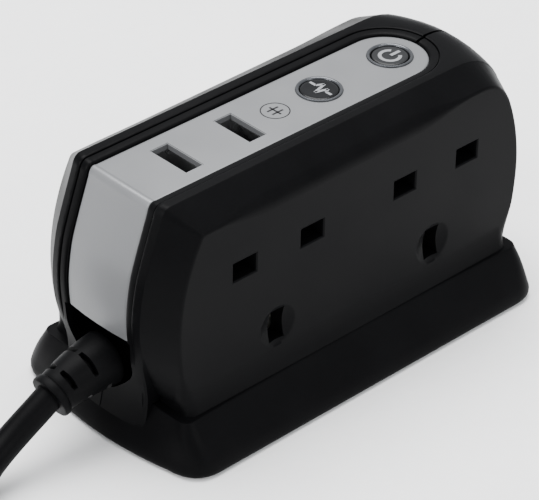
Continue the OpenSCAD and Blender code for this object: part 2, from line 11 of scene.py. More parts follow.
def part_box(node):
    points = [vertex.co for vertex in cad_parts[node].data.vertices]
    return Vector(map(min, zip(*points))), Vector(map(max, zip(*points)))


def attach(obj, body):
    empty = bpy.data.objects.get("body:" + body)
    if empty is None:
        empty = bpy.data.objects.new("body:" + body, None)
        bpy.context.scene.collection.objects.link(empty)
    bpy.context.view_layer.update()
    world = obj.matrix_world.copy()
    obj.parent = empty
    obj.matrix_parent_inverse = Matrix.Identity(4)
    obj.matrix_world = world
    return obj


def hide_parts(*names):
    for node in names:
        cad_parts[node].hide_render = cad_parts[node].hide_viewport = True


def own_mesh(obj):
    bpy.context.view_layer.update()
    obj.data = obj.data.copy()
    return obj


MM = 0.001
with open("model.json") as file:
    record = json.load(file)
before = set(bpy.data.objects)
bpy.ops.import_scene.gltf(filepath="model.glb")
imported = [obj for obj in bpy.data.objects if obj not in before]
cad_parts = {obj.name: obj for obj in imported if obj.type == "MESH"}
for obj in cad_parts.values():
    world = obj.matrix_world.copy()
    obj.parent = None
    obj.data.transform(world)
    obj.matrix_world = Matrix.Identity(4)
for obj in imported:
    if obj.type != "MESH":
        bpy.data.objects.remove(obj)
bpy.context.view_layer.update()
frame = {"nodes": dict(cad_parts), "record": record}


# ---------------------------------------------------------------- camera

CAMERA_AT = (-418.6, -433.8, 435.0)
CAMERA_LOOK = (0.56984, 0.59901, -0.56255)
CAMERA_ROLL = math.radians(0.95)
CAMERA_LENS = 191.2


def make_camera():
    look = Vector(CAMERA_LOOK).normalized()
    right = look.cross(Vector((0, 0, 1))).normalized()
    up = right.cross(look)
    turned_right = math.cos(CAMERA_ROLL) * right + math.sin(CAMERA_ROLL) * up
    turned_up = math.cos(CAMERA_ROLL) * up - math.sin(CAMERA_ROLL) * right
    data = bpy.data.cameras.new("camera")
    data.lens = CAMERA_LENS
    data.sensor_width = 36
    data.clip_start = 0.01
    camera = bpy.data.objects.new("camera", data)
    bpy.context.collection.objects.link(camera)
    turn = Matrix((turned_right, turned_up, -look)).transposed()
    camera.matrix_world = Matrix.Translation(Vector(CAMERA_AT) * MM) @ turn.to_4x4()
    bpy.context.scene.camera = camera


make_camera()


# ---------------------------------------------------------------- materials

def grained(name, base, rough, grain, bump, spread=0.12, metallic=0.0, coat=0.0, specular=0.5,
            rough_spread=0.06, cloud=45.0):
    """A surface with fine grain in its relief and slow changes in its colour and roughness."""
    material = bpy.data.materials.new(name)
    material.use_nodes = True
    nodes = material.node_tree.nodes
    links = material.node_tree.links
    shader = nodes["Principled BSDF"]
    shader.inputs["Metallic"].default_value = metallic
    shader.inputs["Coat Weight"].default_value = coat
    shader.inputs["Coat Roughness"].default_value = 0.15
    shader.inputs["Specular IOR Level"].default_value = specular
    place = nodes.new("ShaderNodeTexCoord")
    slow = nodes.new("ShaderNodeTexNoise")
    slow.inputs["Scale"].default_value = cloud
    slow.inputs["Detail"].default_value = 4
    fine = nodes.new("ShaderNodeTexNoise")
    fine.inputs["Scale"].default_value = grain
    fine.inputs["Detail"].default_value = 3
    links.new(place.outputs["Object"], slow.inputs["Vector"])
    links.new(place.outputs["Object"], fine.inputs["Vector"])
    mix = nodes.new("ShaderNodeMix")
    mix.data_type = "RGBA"
    mix.inputs["A"].default_value = [c * (1 - spread) for c in base] + [1]
    mix.inputs["B"].default_value = [min(1, c * (1 + spread)) for c in base] + [1]
    tint = nodes.new("ShaderNodeMath")
    tint.operation = "ADD"
    links.new(slow.outputs["Fac"], tint.inputs[0])
    links.new(fine.outputs["Fac"], tint.inputs[1])
    half = nodes.new("ShaderNodeMapRange")
    half.inputs["From Min"].default_value = 0.6
    half.inputs["From Max"].default_value = 1.4
    links.new(tint.outputs["Value"], half.inputs["Value"])
    links.new(half.outputs["Result"], mix.inputs["Factor"])
    links.new(mix.outputs["Result"], shader.inputs["Base Color"])
    shine = nodes.new("ShaderNodeMapRange")
    shine.inputs["From Min"].default_value = 0.3
    shine.inputs["From Max"].default_value = 0.7
    shine.inputs["To Min"].default_value = max(0.02, rough - rough_spread)
    shine.inputs["To Max"].default_value = min(1, rough + rough_spread)
    links.new(slow.outputs["Fac"], shine.inputs["Value"])
    links.new(shine.outputs["Result"], shader.inputs["Roughness"])
    relief = nodes.new("ShaderNodeBump")
    relief.inputs["Strength"].default_value = bump
    relief.inputs["Distance"].default_value = 0.00006
    links.new(fine.outputs["Fac"], relief.inputs["Height"])
    links.new(relief.outputs["Normal"], shader.inputs["Normal"])
    return material


# base colour, roughness, grain scale and relief; the keys are the record's material slots
LOOKS = {
    "shell": grained("shell", (0.0024, 0.0024, 0.0027), 0.4, 2200, 0.3, spread=0.3, specular=0.035),
    "silver": grained("silver", (0.155, 0.158, 0.163), 0.42, 3600, 0.12, spread=0.04, metallic=0.35),
    "button": grained("button", (0.011, 0.0115, 0.0125), 0.35, 2600, 0.15, specular=0.2),
    "bezel": grained("bezel", (0.07, 0.073, 0.079), 0.26, 2600, 0.1, metallic=0.7),
    "lens": grained("lens", (0.005, 0.0053, 0.006), 0.2, 1200, 0.05, coat=0.05, specular=0.12),
    "white_plastic": grained("white_plastic", (0.72, 0.7, 0.64), 0.5, 1800, 0.15, spread=0.05),
    "steel": grained("steel", (0.6, 0.6, 0.61), 0.3, 2400, 0.12, spread=0.08, metallic=1.0),
    "board": grained("board", (0.03, 0.14, 0.05), 0.4, 900, 0.2, spread=0.25),
    "lamp": grained("lamp", (0.8, 0.84, 0.78), 0.15, 900, 0.05, spread=0.04),
    "contact_plastic": grained("contact_plastic", (0.004, 0.004, 0.0045), 0.5, 1800, 0.2, specular=0.1),
    "copper": grained("copper", (0.66, 0.3, 0.14), 0.3, 2600, 0.2, spread=0.15, metallic=1.0),
    "varistor": grained("varistor", (0.03, 0.1, 0.36), 0.3, 1200, 0.15, spread=0.1, coat=0.3),
    "brass": grained("brass", (0.72, 0.52, 0.2), 0.27, 2600, 0.12, spread=0.1, metallic=1.0),
    "rubber": grained("rubber", (0.0025, 0.0025, 0.0028), 0.5, 2000, 0.35, spread=0.3, specular=0.045),
    "cord": grained("cord", (0.0022, 0.0022, 0.0025), 0.45, 1600, 0.3, spread=0.3, specular=0.045),
    "wire_brown": grained("wire_brown", (0.18, 0.07, 0.03), 0.4, 1400, 0.2),
    "wire_blue": grained("wire_blue", (0.02, 0.1, 0.42), 0.4, 1400, 0.2),
    "wire_green": grained("wire_green", (0.12, 0.4, 0.05), 0.4, 1400, 0.2, spread=0.4),
    "red_plastic": grained("red_plastic", (0.3, 0.02, 0.02), 0.4, 1800, 0.15),
}
# dark and pale printing
INK = grained("ink", (0.008, 0.008, 0.009), 0.5, 1800, 0.1, specular=0.2)
PALE_INK = grained("pale_ink", (0.2, 0.204, 0.212), 0.4, 2400, 0.1, spread=0.05)


# ---------------------------------------------------------------- mesh helpers

def finish_mesh(obj, sharp=32):
    """Smooth shading that stays crisp at edges over the given angle."""
    for polygon in obj.data.polygons:
        polygon.use_smooth = True
    obj.data.set_sharp_from_angle(angle=math.radians(sharp))


def weigh_normals(obj):
    """Large flat faces keep their own normals beside small curved ones."""
    step = obj.modifiers.new("normals", "WEIGHTED_NORMAL")
    step.keep_sharp = True
    step.weight = 90
    bpy.context.view_layer.update()
    result = obj.evaluated_get(bpy.context.evaluated_depsgraph_get())
    mesh = bpy.data.meshes.new_from_object(result)
    obj.modifiers.clear()
    obj.data = mesh


def make_piece(name, points, faces):
    """A mesh object from millimetre points, welded and with its normals outwards."""
    mesh = bpy.data.meshes.new(name)
    mesh.from_pydata([tuple(c * MM for c in p) for p in points], [], faces)
    work = bmesh.new()
    work.from_mesh(mesh)
    bmesh.ops.remove_doubles(work, verts=work.verts, dist=2e-7)
    bmesh.ops.dissolve_degenerate(work, edges=work.edges, dist=1e-7)
    bmesh.ops.recalc_face_normals(work, faces=work.faces)
    work.to_mesh(mesh)
    work.free()
    obj = bpy.data.objects.new(name, mesh)
    bpy.context.collection.objects.link(obj)
    return obj


def loft(name, rings, closed=True, caps=True):
    """Skin over rings of equal length; caps close both ends."""
    count = len(rings[0])
    points = [p for ring in rings for p in ring]
    faces = []
    for i in range(len(rings) - 1):
        for k in range(count if closed else count - 1):
            m = (k + 1) % count
            faces.append((i * count + k, i * count + m, (i + 1) * count + m, (i + 1) * count + k))
    if caps:
        faces.append(tuple(range(count)))
        faces.append(tuple((len(rings) - 1) * count + k for k in range(count)))
    return make_piece(name, points, faces)


def both_sides(name, rings):
    """Skin over open rings that start and end on the middle plane, closed by its mirror image."""
    count = len(rings[0])
    points = [p for ring in rings for p in ring]
    faces = [(i * count + k, i * count + k + 1, (i + 1) * count + k + 1, (i + 1) * count + k)
             for i in range(len(rings) - 1) for k in range(count - 1)]
    total = len(points)
    points += [(x, -y, z) for x, y, z in points]
    faces += [tuple(total + i for i in reversed(face)) for face in faces]
    faces.append(tuple(range(count)) + tuple(total + k for k in range(count - 2, 0, -1)))
    return make_piece(name, points, faces)


def combine(target, tool, how):
    """Applies one Boolean with a tool that is used up."""
    step = target.modifiers.new(how, "BOOLEAN")
    step.operation = how
    step.object = tool
    step.solver = "MANIFOLD"
    bpy.context.view_layer.update()
    result = target.evaluated_get(bpy.context.evaluated_depsgraph_get())
    mesh = bpy.data.meshes.new_from_object(result)
    target.modifiers.clear()
    target.data = mesh
    bpy.data.objects.remove(tool)


def dress(obj, look, body, nodes=()):
    """Material, body and the CAD nodes that a new piece stands for."""
    if obj.type == "MESH":
        finish_mesh(obj)
        weigh_normals(obj)
    obj.data.materials.clear()
    obj.data.materials.append(look)
    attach(obj, body)
    if nodes:
        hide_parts(*nodes)
    return obj


def bezier(a, b, c, t):
    """Point of a quadratic curve from a to c with control b."""
    return tuple((1 - t) ** 2 * p + 2 * t * (1 - t) * q + t * t * r for p, q, r in zip(a, b, c))


def smooth_step(t):
    """From 0 to 1 with level ends."""
    t = min(1, max(0, t))
    return t * t * (3 - 2 * t)


def table_slope(table, i):
    """Slope of the smooth curve at its i-th pair."""
    low = table[max(i - 1, 0)]
    high = table[min(i + 1, len(table) - 1)]
    return (high[1] - low[1]) / (high[0] - low[0])


def smooth_value(table, t):
    """Value at t on a smooth curve through pairs in rising order."""
    i = 0
    while i < len(table) - 2 and t > table[i + 1][0]:
        i += 1
    step = table[i + 1][0] - table[i][0]
    u = (t - table[i][0]) / step
    start = table[i][1]
    end = table[i + 1][1]
    first = table_slope(table, i) * step
    last = table_slope(table, i + 1) * step
    return ((2 * u**3 - 3 * u**2 + 1) * start + (u**3 - 2 * u**2 + u) * first
            + (3 * u**2 - 2 * u**3) * end + (u**3 - u**2) * last)


def box_solid(name, low, high):
    """A box between two opposite corners."""
    (a, b, c), (d, e, f) = low, high
    return loft(name, [[(a, b, z), (d, b, z), (d, e, z), (a, e, z)] for z in (c, f)])


def disc_rings(centre, profile, sides=64):
    """Rings about a vertical axis from (radius, height) pairs."""
    return [[(centre[0] + r * math.cos(2 * math.pi * k / sides),
              centre[1] + r * math.sin(2 * math.pi * k / sides), z) for k in range(sides)]
            for r, z in profile]


# ---------------------------------------------------------------- cord

CORD_R = 3.75
LEAD = [(-78, 0, 18), (-81, 0, 16.3), (-84.5, 0, 14.4), (-88, 0, 12.5), (-93, -0.3, 10),
        (-98, -1.2, 7.9), (-102.5, -2.8, 6.2), (-107, -4.9, 5), (-111.5, -7.6, 4.2),
        (-115.5, -10.8, 3.8), (-118.5, -14.1, 3.8)]
TAIL = [(-190.3, 15, 18.8), (-189, 24.7, 19.4), (-185.3, 33.8, 20.3), (-179.3, 41.5, 21.4),
        (-171.6, 47.5, 22.5), (-162.5, 51.2, 23.5), (-152.8, 52.5, 24.5), (-144.8, 52.5, 25.5),
        (-136.8, 52.5, 26.4), (-127.8, 52.5, 27), (-120, 51.5, 27), (-112.8, 48.5, 26.8),
        (-106.6, 43.7, 26.6), (-101.8, 37.5, 26.5), (-98.8, 30.3, 26.5), (-97.8, 22.5, 26.6),
        (-98.8, 14.7, 27.2), (-101.8, 7.5, 28.4), (-106.6, 1.3, 30), (-112.8, -3.5, 31.8),
        (-120, -6.5, 33.1), (-127.8, -7.5, 33.5)]
COIL_AT = (-152.8, 15)
COIL_START = -40.3
COIL_TURN = 2299.7
# degrees of turn where the radius or the height starts and ends a change, and by how much
COIL_RADII = [(300, 360, -7.5), (660, 720, -7.5), (1260, 1320, 7.5), (1620, 1680, 7.5), (1990, 2100, -7.5)]
COIL_CLIMBS = [(960, 1020, 7.5), (1920, 1980, 7.5)]


def coil_point(s):
    """Point of the coiled cord after s degrees of turn."""
    radius = 45 + sum(d * smooth_step((s - a) / (b - a)) for a, b, d in COIL_RADII)
    height = CORD_R + sum(d * smooth_step((s - a) / (b - a)) for a, b, d in COIL_CLIMBS)
    angle = math.radians(COIL_START - s)
    return (COIL_AT[0] + radius * math.cos(angle), COIL_AT[1] + radius * math.sin(angle), height)


def rounded_route(points, step=2.5):
    """The same route through a Catmull-Rom curve, with a point every few millimetres."""
    route = [Vector(p) for p in points]
    out = []
    for i in range(len(route) - 1):
        before = route[max(i - 1, 0)]
        a, b = route[i], route[i + 1]
        after = route[min(i + 2, len(route) - 1)]
        parts = max(1, round((b - a).length / step))
        for k in range(parts):
            t = k / parts
            out.append(0.5 * (2 * a + (b - before) * t + (2 * before - 5 * a + 4 * b - after) * t * t
                              + (3 * a - before - 3 * b + after) * t**3))
    out.append(route[-1])
    return out


def make_cord():
    coil = [coil_point(s) for s in range(12, int(COIL_TURN) - 6, 8)]
    route = rounded_route(LEAD + coil + TAIL)
    data = bpy.data.curves.new("cord", "CURVE")
    data.dimensions = "3D"
    data.bevel_depth = CORD_R * MM
    data.bevel_resolution = 5
    data.use_fill_caps = True
    spline = data.splines.new("POLY")
    spline.points.add(len(route) - 1)
    for point, place in zip(spline.points, route):
        point.co = (place.x * MM, place.y * MM, place.z * MM, 1)
    spline.use_smooth = True
    cord = bpy.data.objects.new("cord", data)
    bpy.context.collection.objects.link(cord)
    return dress(cord, LOOKS["cord"], "housing", ("cord_lead", "cord_coil", "cord_tail"))


def ring_about(centre, along, radii, sides=28, up=Vector((0, 0, 1))):
    """A ring across a direction; radii gives the two half widths, sideways and upwards."""
    side = along.cross(up).normalized()
    over = side.cross(along)
    return [tuple(centre + radii[0] * math.cos(2 * math.pi * k / sides) * side
                  + radii[1] * math.sin(2 * math.pi * k / sides) * over) for k in range(sides)]


BOOT_ROOT = (-52.1, 0, 21.2)
BOOT_RUN = 26.2
BOOT_DROP = 3.9
BOOT_NECK = 5.2
# radius by place along the boot
BOOT_RADII = [(0.34, 7.25), (0.45, 6.95), (0.65, 6.4), (0.85, 5.7), (1, 5.3)]


def boot_centre(t):
    """Middle of the boot from its root at 0 to its free end at 1."""
    return Vector((BOOT_ROOT[0] - BOOT_RUN * t, 0, BOOT_ROOT[2] - BOOT_DROP * max(t, 0) ** 2.6))


def boot_along(t):
    return (boot_centre(t + 0.01) - boot_centre(t - 0.01)).normalized()


def boot_radius(t):
    return smooth_value(BOOT_RADII, t)


def boot_slit(t, start, end):
    """Cutter for one slit across the boot, between two angles from its top."""
    centre = boot_centre(t)
    along = boot_along(t)
    side = along.cross(Vector((0, 0, 1))).normalized()
    over = side.cross(along)
    rings = []
    for i in range(13):
        angle = math.radians(start + (end - start) * i / 12)
        out = side * math.sin(angle) + over * math.cos(angle)
        half = 0.8 * math.sin(math.pi * (0.12 + 0.76 * i / 12)) ** 0.4
        low = centre + out * (boot_radius(t) - 2)
        high = centre + out * (boot_radius(t) + 2)
        rings.append([tuple(low - along * half), tuple(low + along * half),
                      tuple(high + along * half), tuple(high - along * half)])
    return loft("slit", rings)


def make_boot():
    """Tapered strain relief: a neck in the wall, a rounded shoulder, slits and an end collar."""
    neck = [(0, BOOT_NECK), (0.27, BOOT_NECK), (0.295, 5.6), (0.3, 6.2), (0.308, 6.7),
            (0.32, 7.05), (0.335, 7.22)]
    body = [(t / 50, boot_radius(t / 50)) for t in range(18, 46)]
    collar = [(0.915, 5.35), (0.925, 5.8), (0.945, 6), (0.98, 6), (0.995, 5.8), (1, 5.35), (1, 3.9)]
    rings = [ring_about(boot_centre(t), boot_along(t), (r, r)) for t, r in neck + body + collar]
    boot = loft("cord_boot_piece", rings)
    for mirror in (-1, 1):
        for t, start, end in ((0.6, 6, 70), (0.82, 10, 68), (0.48, 112, 172), (0.71, 114, 170)):
            combine(boot, boot_slit(t, mirror * start, mirror * end), "DIFFERENCE")
    return dress(boot, LOOKS["rubber"], "housing", ("cord_boot",))


cord = make_cord()
boot = make_boot()


# ---------------------------------------------------------------- shell outlines

RIM_Z = 69.6
SPINE_Y = 16.3
FACE_Y = 24
FLOOR_GAP = 0.6
# top of the skirt, foot of the upper outlines and lower end of the silver strip
FLARE_Z = 14
SIDE_FOOT = 0.9
STRIP_END_Z = 32.2
# the two ends are bowed in plan
BOW_RADIUS = 102
# half length of the spine beside its crease, by height
SPINE_END = [(0.9, 62.8), (3, 62.6), (6, 61.6), (10, 60.6), (14, 60), (17, 60), (21, 60.5), (25.6, 61.7),
             (32.6, 62.9), (40.6, 63.1), (49.8, 61.8), (55.7, 60), (61.4, 58), (66.4, 56.2)]
# half length of the barrel where it leaves the spine, below the widest point
BARREL_END = [(0.9, 52), (8, 54), (13.3, 55.4), (17.8, 57.4), (22.8, 59.3), (27, 61), (31, 62.2),
              (34, 62.5)]
# upper corners: where the top ends, the control point and the height where the end begins
CORD_CORNER = (53.2, 55.5, 66.4)
FAR_CORNER = (47, 56, 62)
FAR_CORNER_AT_CREASE = (42, 54.8, 58.8)
FACE_CORNERS = {-1: 0.9, 1: 7}
# socket face: middle, half length where it is widest, the round above that and the taper below
FACE_MID = 0.9
FACE_HALF = 58.4
FACE_WIDEST_Z = 36
FACE_ROUND = 56
FACE_TAPER = 2.4
FACE_LEFT_TOP = 63.8
FACE_RIGHT_TOP = 65.4
# how far the crease lies inside and below the rim
CREASE_IN = 0.35
CREASE_DOWN = 0.25
SIDE_STEPS = 32
CORNER_STEPS = 8
TOP_STEPS = 26


def bow(y):
    """How far an end stands out towards the middle of its width."""
    return (SPINE_Y**2 - min(abs(y), SPINE_Y) ** 2) / (2 * BOW_RADIUS)


def corner_at(sign, y):
    """The far corner grows from the middle plane out to the crease."""
    if sign < 0:
        return CORD_CORNER
    part = (min(abs(y), SPINE_Y) / SPINE_Y) ** 2
    return tuple(a + (b - a) * part for a, b in zip(FAR_CORNER, FAR_CORNER_AT_CREASE))


def side_heights(sign, y):
    top = corner_at(sign, y)[2]
    return [SIDE_FOOT + (top - SIDE_FOOT) * i / SIDE_STEPS for i in range(SIDE_STEPS + 1)]


def around(left, right):
    """One closed ring in x and z: up the left end, over the top and down the right end.
    Each side is a pair: its points from the floor up and the three points of its corner."""
    ring = list(left[0])
    ring += [bezier(*left[1], i / CORNER_STEPS) for i in range(1, CORNER_STEPS + 1)]
    start = ring[-1]
    end = right[1][2]
    ring += [tuple(a + (b - a) * i / TOP_STEPS for a, b in zip(start, end)) for i in range(1, TOP_STEPS)]
    ring += [bezier(*right[1][::-1], i / CORNER_STEPS) for i in range(CORNER_STEPS)]
    ring += list(reversed(right[0]))
    return ring


def spine_side(sign, y, inset):
    out = bow(y) - inset
    top, point, _ = corner_at(sign, y)
    side = [(sign * (smooth_value(SPINE_END, z) + out), z) for z in side_heights(sign, y)]
    corner = (side[-1], (sign * (point + out), RIM_Z - inset), (sign * (top + out), RIM_Z - inset))
    return side, corner


def crease_side(sign, inset):
    side = []
    top, point, _ = corner_at(sign, SPINE_Y)
    for z in side_heights(sign, SPINE_Y):
        full = smooth_value(SPINE_END, z)
        x = full if z > BARREL_END[-1][0] else smooth_value(BARREL_END, z)
        side.append((sign * (min(x, full - CREASE_IN) - inset), z))
    high = RIM_Z - CREASE_DOWN - inset
    corner = (side[-1], (sign * (point - CREASE_IN - inset), high), (sign * (top - inset), high))
    return side, corner


def face_half(z):
    if z > FACE_WIDEST_Z:
        return FACE_HALF - (FACE_ROUND - math.sqrt(FACE_ROUND**2 - (z - FACE_WIDEST_Z) ** 2))
    return FACE_HALF - FACE_TAPER * ((FACE_WIDEST_Z - z) / (FACE_WIDEST_Z - FLARE_Z)) ** 1.6


def face_side(sign, inset):
    top = (FACE_LEFT_TOP if sign < 0 else FACE_RIGHT_TOP) - inset
    size = FACE_CORNERS[sign]
    full = corner_at(sign, SPINE_Y)[2] - SIDE_FOOT
    side = []
    for z in side_heights(sign, SPINE_Y):
        z = SIDE_FOOT + (z - SIDE_FOOT) * (top - size - SIDE_FOOT) / full
        side.append((FACE_MID + sign * (face_half(z) - inset), z))
    edge = FACE_MID + sign * (face_half(top) - inset)
    corner = (side[-1], (edge, top), (edge - sign * size, top))
    return side, corner


def spine_ring(y, inset=0.0):
    return around(spine_side(-1, y, inset), spine_side(1, y, inset))


def crease_ring(inset=0.0):
    return around(crease_side(-1, inset), crease_side(1, inset))


def face_ring(inset=0.0):
    return around(face_side(-1, inset), face_side(1, inset))


def crease_y(z):
    """The crease comes closer to the middle plane near the skirt."""
    return 15 + (SPINE_Y - 15) * smooth_step((z - 20) / 13)


def edge_size(index, count, z):
    """How much the edge between bevel and socket face is rounded at one point of a ring."""
    side = SIDE_STEPS + 1
    if index < side or index >= count - side:
        return 0.7 + 2.3 * smooth_step((27 - z) / 10)
    from_end = min(index - side, count - side - 1 - index)
    return 0.7 + 2.5 * smooth_step((from_end - CORNER_STEPS) / 5)


def upper_rings():
    """Outlines from the middle plane out: spine, rim, crease, bevel and the socket face's edge."""
    rings = []
    for y, inset in ((0, 0.3), (0.22, 0), (4, 0), (8, 0), (12, 0), (14.4, 0)):
        rings.append([(x, -y, z) for x, z in spine_ring(y, inset)])
    rim = spine_ring(SPINE_Y)
    rings.append([(x, -(crease_y(z) - 0.3), z) for x, z in rim])
    soft = spine_ring(SPINE_Y, 0.1)
    rings.append([(x, -(crease_y(z) - 0.06), z) for x, z in soft])
    crease = [Vector((x, -(crease_y(z) + 0.15), z)) for x, z in crease_ring()]
    rings.append([tuple(p) for p in crease])
    edge = [Vector((x, -FACE_Y, z)) for x, z in face_ring()]
    count = len(edge)
    starts, ends = [], []
    for i, point in enumerate(edge):
        size = edge_size(i, count, point.z)
        along = edge[(i + 1) % count] - edge[i - 1]
        inward = Vector((along.z, 0, -along.x)).normalized()
        if i in (0, count - 1):
            inward = Vector((1 if i == 0 else -1, 0, 0))
        starts.append(point + (crease[i] - point).normalized() * size)
        ends.append(point + inward * size)
    for k in range(6):
        rings.append([bezier(a, b, c, k / 5) for a, b, c in zip(starts, edge, ends)])
    return rings


# ---------------------------------------------------------------- skirt

# half length and half width of the flared skirt, by height
SKIRT_LENGTH = [(0.6, 64.4), (1, 64.7), (2, 64.8), (3.5, 64.4), (6, 63.2), (9, 61.3), (12, 59.4),
                (14, 58.4)]
SKIRT_WIDTH = [(0.6, 33.1), (1, 33.4), (2, 33.45), (3.5, 33), (5, 32.2), (8, 30.3), (11, 28.2), (14, 26.2)]


def plan_ring(length, width, corner, bowed, flare, z):
    """Near half of a plan outline: the near side runs along x, the ends come back to y = 0."""
    half = []
    end = -(width - corner)
    for i in range(9):
        y = end * i / 8
        half.append((length - bowed * y * y / (2 * BOW_RADIUS), y))
    last = half[-1]
    side_x = last[0] - corner
    side_y = -(width + flare)
    start = (side_x, side_y)
    for i in range(1, 9):
        half.append(bezier(last, (last[0] - bowed * 0.1 * corner, side_y), start, i / 8))
    for i in range(1, 9):
        x = side_x * (1 - i / 8)
        half.append((x, -(width + flare * (x / side_x) ** 2)))
    return [(x, y, z) for x, y in half] + [(-x, y, z) for x, y in reversed(half[:-1])]


def skirt_rings():
    """The flared skirt up to its narrow edge, then a root that ends inside the upper body."""
    rings = []
    for z in (FLOOR_GAP, 0.8, 1.1, 1.6, 2.2, 3, 4, 5, 6, 7, 8, 9, 10, 11, 12, 13, 13.7):
        bowed = 1 - smooth_step((z - 3) / (FLARE_Z - 3))
        corner = 9.5 - 6.5 * z / FLARE_Z
        flare = 0.8 * z / FLARE_Z
        rings.append(plan_ring(smooth_value(SKIRT_LENGTH, z), smooth_value(SKIRT_WIDTH, z),
                               corner, bowed, flare, z))
    rings.append(plan_ring(58.4, 26.2, 2.6, 0, 0.8, 13.92))
    rings.append(plan_ring(58.1, 26, 2.5, 0, 0.7, FLARE_Z))
    for z, width, length in ((14.04, 25.9, 56.2), (15, 25.55, 55.9), (16.2, 25.05, 56.1),
                             (17.6, 24.6, 56.4), (19.2, 24.2, 56.7), (21.2, 23.9, 57)):
        rings.append(plan_ring(length, width, 3.5, 0, 0, z))
    return rings


# ---------------------------------------------------------------- strip path

STRIP_TIP = 44.6
STRIP_HALF = 10.8


def strip_frames(fade_from):
    """Places along the strip: a point of the rim outline, the sideways axis, the way out, how much the
    end's bow moves it and how deep the section goes. The last ones turn about the round end's middle."""
    top, point, side_top = CORD_CORNER
    path = [(-smooth_value(SPINE_END, z), z) for z in [fade_from + (STRIP_END_Z - fade_from) * i / 8
                                                       for i in range(8)] if fade_from < STRIP_END_Z]
    left = [(-smooth_value(SPINE_END, z), z) for z in [STRIP_END_Z + (side_top - STRIP_END_Z) * i / 20
                                                       for i in range(21)]]
    path += left + [bezier(left[-1], (-point, RIM_Z), (-top, RIM_Z), i / 10) for i in range(1, 11)]
    turn_x = STRIP_TIP - STRIP_HALF
    path += [(-top + (turn_x + top) * i / 16, RIM_Z) for i in range(1, 17)]
    frames = []
    for i, (x, z) in enumerate(path):
        a = path[max(i - 1, 0)]
        b = path[min(i + 1, len(path) - 1)]
        along = Vector((b[0] - a[0], 0, b[1] - a[1])).normalized()
        out = Vector((-along.z, 0, along.x))
        deep = 1 if z >= STRIP_END_Z else smooth_step((z - fade_from) / (STRIP_END_Z - fade_from))
        frames.append((Vector((x, 0, z)), Vector((0, -1, 0)), out, abs(out.x), deep))
    middle = Vector((turn_x, 0, RIM_Z))
    for i in range(1, 17):
        angle = math.pi / 2 * i / 16
        frames.append((middle, Vector((math.sin(angle), -math.cos(angle), 0)), Vector((0, 0, 1)), 0, 1))
    return frames


def strip_rings(section, fade_from=STRIP_END_Z):
    """(sideways, out) points carried along the strip's path, for the near half."""
    rings = []
    for place, side, out, bowed, deep in strip_frames(fade_from):
        ring = []
        for r, n in section:
            n = n * deep + 0.06 * (1 - deep) if n < 0 else n
            ring.append(tuple(place + side * r + out * (n + bowed * bow(r))))
        rings.append(ring)
    return rings


# ---------------------------------------------------------------- shells

PITCH = 54
PAIR_X = 1.5
LN_HALF = 11.1
LN_Z = 48.6
EARTH_Z = 26.4
USB_X = (-37, -16.5)
LENS_X = 10.2
BUTTON_X = 35
SIGN_X = -4.8
USB_HALF_X = 2.6
USB_HALF_Y = 6.3
USB_GAP = 0.5
WELL_R = 6.06
SOCKET_X = (PAIR_X - PITCH / 2, PAIR_X + PITCH / 2)
SLOTS = ([(x + s * LN_HALF, LN_Z, 3.6, 2.4) for x in SOCKET_X for s in (-1, 1)]
         + [(x, EARTH_Z, 2.4, 4.4) for x in SOCKET_X])


def rectangle(x, z, half_x, half_z, y):
    return [(x - half_x, y, z - half_z), (x + half_x, y, z - half_z),
            (x + half_x, y, z + half_z), (x - half_x, y, z + half_z)]


def cut_slots(shell):
    for x, z, half_x, half_z in SLOTS:
        wall = 1.4
        combine(shell, box_solid("tunnel", (x - half_x - wall, -22.5, z - half_z - wall),
                                 (x + half_x + wall, -18.8, z + half_z + wall)), "UNION")
    for x, z, half_x, half_z in SLOTS:
        rings = [rectangle(x, z, half_x + grow, half_z + grow, y)
                 for y, grow in ((-24.6, 0.95), (-24, 0.5), (-23.75, 0.14), (-23.4, 0), (-18, 0))]
        combine(shell, loft("slot", rings), "DIFFERENCE")
    for x in SOCKET_X:
        profile = [(6.3, -24.3), (6.05, -24), (5.4, -23.72), (4.2, -23.3), (2.9, -22.9), (2.2, -22.75)]
        rings = [[(x + r * math.cos(2 * math.pi * k / 56), y, EARTH_Z + r * math.sin(2 * math.pi * k / 56))
                  for k in range(56)] for r, y in profile]
        combine(shell, loft("dish", rings), "DIFFERENCE")


def cut_strip_seat(shell):
    """The seat of the strip, the soft lip beside it, the fine line round the lip and, past the strip's
    tip, the joint between the halves."""
    section = [(0, -2.9), (10.92, -2.9), (10.92, -1.1), (11.05, -0.86), (11.35, -0.66), (11.8, -0.53),
               (12.5, -0.45), (13.15, -0.42), (13.25, -0.72), (13.4, -0.72), (13.5, -0.2), (13.85, 0),
               (14.1, 0.3), (14.1, 4), (0, 4)]
    combine(shell, both_sides("seat", strip_rings(section, fade_from=25)), "DIFFERENCE")
    combine(shell, box_solid("notch", (44.6, -0.42, 68.2), (57, 1, 72)), "DIFFERENCE")


# half outline of the pocket's round bottom, from the middle out
POCKET = [(0, 13.2), (1.8, 13.45), (3.5, 14.15), (5, 15.2), (6.6, 16.6), (8.3, 18.2), (9.8, 19.9),
          (10.8, 21.6), (11.3, 23.2), (11.4, 25)]
POCKET_BACK = -52
POCKET_HALF = 11.4
BOOT_HOLE_R = 5.4


